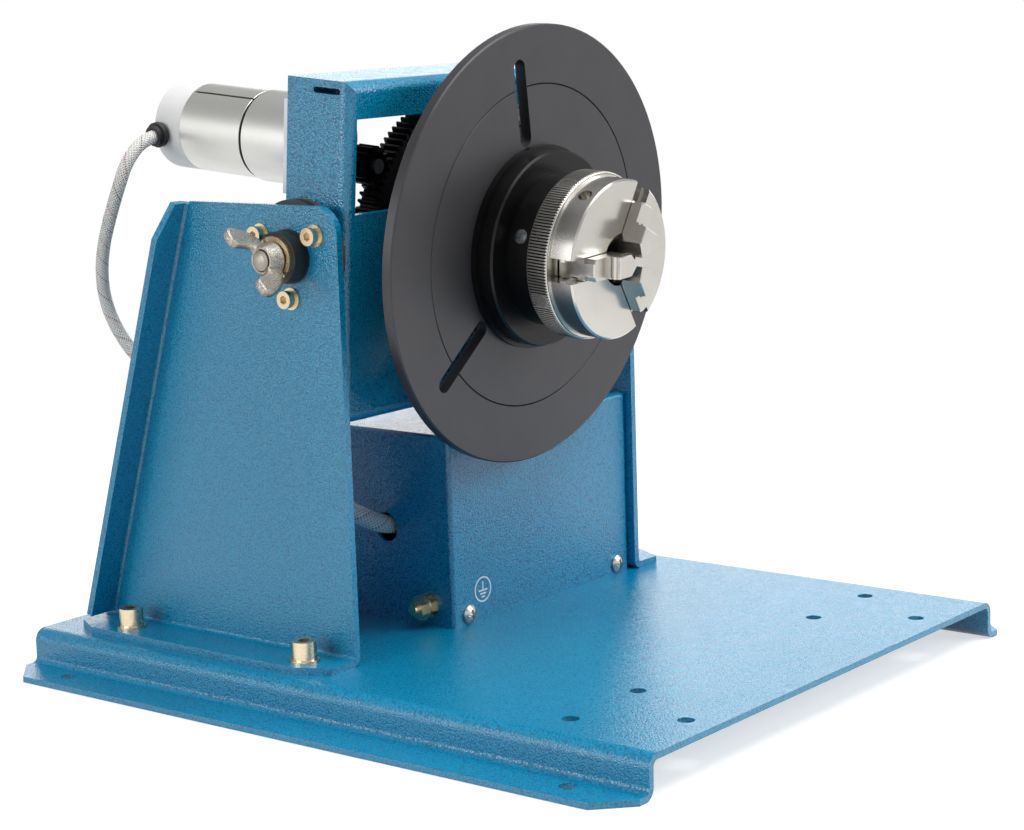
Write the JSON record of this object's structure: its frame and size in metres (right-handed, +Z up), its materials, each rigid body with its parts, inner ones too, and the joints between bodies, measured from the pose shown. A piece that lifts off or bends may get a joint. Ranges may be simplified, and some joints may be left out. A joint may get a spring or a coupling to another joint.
{
  "type": "welding positioner",
  "caption": "Bench welding positioner: slotted turntable with self-centring jaw chuck on a motor-driven tilting head between two brackets, with a control box on a folded base.",
  "frame": {"origin": "centre of the base's underside", "axes": "+X across the machine, +Y to the rear, +Z up; the table faces -Y"},
  "size_m": [0.2886, 0.319, 0.2645],
  "materials": {
    "black_bush": "turned black nylon",
    "black_enamel": "gloss black",
    "black_gear": "machined black nylon",
    "black_moulding": "moulded",
    "black_moulding_matt": "moulded",
    "black_oxide_steel": "black oxide, fine turned",
    "black_rubber": "moulded",
    "braided_sleeve": "braided glass fibre",
    "bright_steel": "bright turned",
    "cast_zinc": "as cast",
    "circuit_board": "solder mask",
    "friction_fibre": "pressed fibre",
    "ground_steel": "ground and polished",
    "housing_iron": "machined cast iron",
    "motor_silver": "nickel plated can",
    "nickel_screws": "nickel plated",
    "red_rocker": "moulded",
    "supply_case": "folded aluminium",
    "teal_powder_coat": "wrinkle powder coat",
    "white_cap": "moulded",
    "yellow_zinc": "yellow zinc plated",
    "zinc_steel": "clear zinc plated"
  },
  "bodies": {
    "base": {"base_plate": "teal_powder_coat", "bracket_left": "teal_powder_coat", "bracket_right": "teal_powder_coat", "bracket_bolts": "yellow_zinc", "bracket_washers": "yellow_zinc", "bracket_nuts": "yellow_zinc", "pivot_bush_left": "black_bush", "pivot_bush_right": "black_bush", "pivot_screws": "yellow_zinc", "pivot_screw_washers": "yellow_zinc", "clamp_washers": "yellow_zinc", "box_cover": "teal_powder_coat", "box_chassis": "teal_powder_coat", "box_screws": "nickel_screws", "earth_terminal": "yellow_zinc", "power_supply": "supply_case", "control_board": "circuit_board", "speed_control": "zinc_steel", "power_switch": "black_moulding", "direction_switch": "black_moulding", "power_inlet": "black_moulding_matt", "inlet_screws": "nickel_screws", "fuse_holder": "black_moulding_matt", "pedal_socket": "zinc_steel", "lead": "braided_sleeve"},
    "head": {"head_frame": "teal_powder_coat", "drive_plate": "zinc_steel", "tilt_studs": "zinc_steel", "friction_discs": "friction_fibre", "front_housing": "housing_iron", "rear_housing": "housing_iron", "head_screws": "zinc_steel", "front_bearing": "bright_steel", "rear_bearing": "bright_steel", "motor_bracket": "zinc_steel", "gearbox": "motor_silver", "motor_screws": "zinc_steel", "motor_can": "motor_silver", "motor_end_cap": "white_cap", "lead_grommet": "black_rubber"},
    "spindle": {"spindle_shaft": "bright_steel", "spindle_nut": "bright_steel", "spindle_screws": "zinc_steel", "turntable": "black_oxide_steel", "drive_gear": "black_gear", "set_screws": "zinc_steel", "chuck_plate": "black_enamel", "chuck_body": "ground_steel"},
    "pinion": {"drive_pinion": "black_oxide_steel", "motor_shaft": "bright_steel"},
    "scroll": {"scroll_ring": "ground_steel"},
    "jaw_1": {"jaw_1": "ground_steel"},
    "jaw_2": {"jaw_2": "ground_steel"},
    "jaw_3": {"jaw_3": "ground_steel"},
    "nut_left": {"wing_nut_left": "cast_zinc"},
    "nut_right": {"wing_nut_right": "cast_zinc"},
    "knob": {"speed_knob": "black_moulding_matt"},
    "power_key": {"power_rocker": "red_rocker"},
    "direction_key": {"direction_rocker": "black_moulding"}
  },
  "joints": [
    {"name": "tilt", "type": "hinge", "parent": "base", "child": "head", "pos_m": [0, 0.028, 0.1785], "axis": [1, 0, 0], "range_deg": [-95, 5], "deforming": ["lead"]},
    {"name": "spindle_spin", "type": "hinge", "parent": "head", "child": "spindle", "pos_m": [0, 0.028, 0.1785], "axis": [0, -0.9963, -0.0861], "continuous": true},
    {"name": "pinion_spin", "type": "hinge", "parent": "head", "child": "pinion", "pos_m": [-0.05486, 0.02516, 0.21134], "axis": [0, -0.9963, -0.0861], "continuous": true},
    {"name": "scroll_turn", "type": "hinge", "parent": "spindle", "child": "scroll", "pos_m": [0, -0.04373, 0.1723], "axis": [0, -0.9963, -0.0861], "range_deg": [0, 900]},
    {"name": "jaw_1_slide", "type": "slide", "parent": "spindle", "child": "jaw_1", "axis": [-0.9981, 0.0053, -0.0608], "range_m": [0, 0.0101]},
    {"name": "jaw_2_slide", "type": "slide", "parent": "spindle", "child": "jaw_2", "axis": [0.5519, 0.0718, -0.8308], "range_m": [0, 0.0101]},
    {"name": "jaw_3_slide", "type": "slide", "parent": "spindle", "child": "jaw_3", "axis": [0.4462, -0.0771, 0.8916], "range_m": [0, 0.0101]},
    {"name": "nut_turn_left", "type": "hinge", "parent": "head", "child": "nut_left", "pos_m": [-0.108, 0.028, 0.1785], "axis": [-1, 0, 0], "range_deg": [0, 180]},
    {"name": "nut_turn_right", "type": "hinge", "parent": "head", "child": "nut_right", "pos_m": [0.108, 0.028, 0.1785], "axis": [1, 0, 0], "range_deg": [0, 180]},
    {"name": "speed_turn", "type": "hinge", "parent": "base", "child": "knob", "pos_m": [0.0666, 0.1417, 0.0745], "axis": [0, -1, 0], "range_deg": [-150, 150]},
    {"name": "power_rock", "type": "hinge", "parent": "base", "child": "power_key", "pos_m": [-0.0054, 0.1362, 0.0745], "axis": [1, 0, 0], "range_deg": [0, 18]},
    {"name": "direction_rock", "type": "hinge", "parent": "base", "child": "direction_key", "pos_m": [0.0306, 0.1362, 0.0745], "axis": [1, 0, 0], "range_deg": [-9, 9]}
  ],
  "couplings": [
    {"joint": "pinion_spin", "follows": "spindle_spin", "ratio": -8.1429},
    {"joint": "jaw_1_slide", "follows": "scroll_turn", "m_per_rad": 0.00063662},
    {"joint": "jaw_2_slide", "follows": "scroll_turn", "m_per_rad": 0.00063662},
    {"joint": "jaw_3_slide", "follows": "scroll_turn", "m_per_rad": 0.00063662}
  ]
}
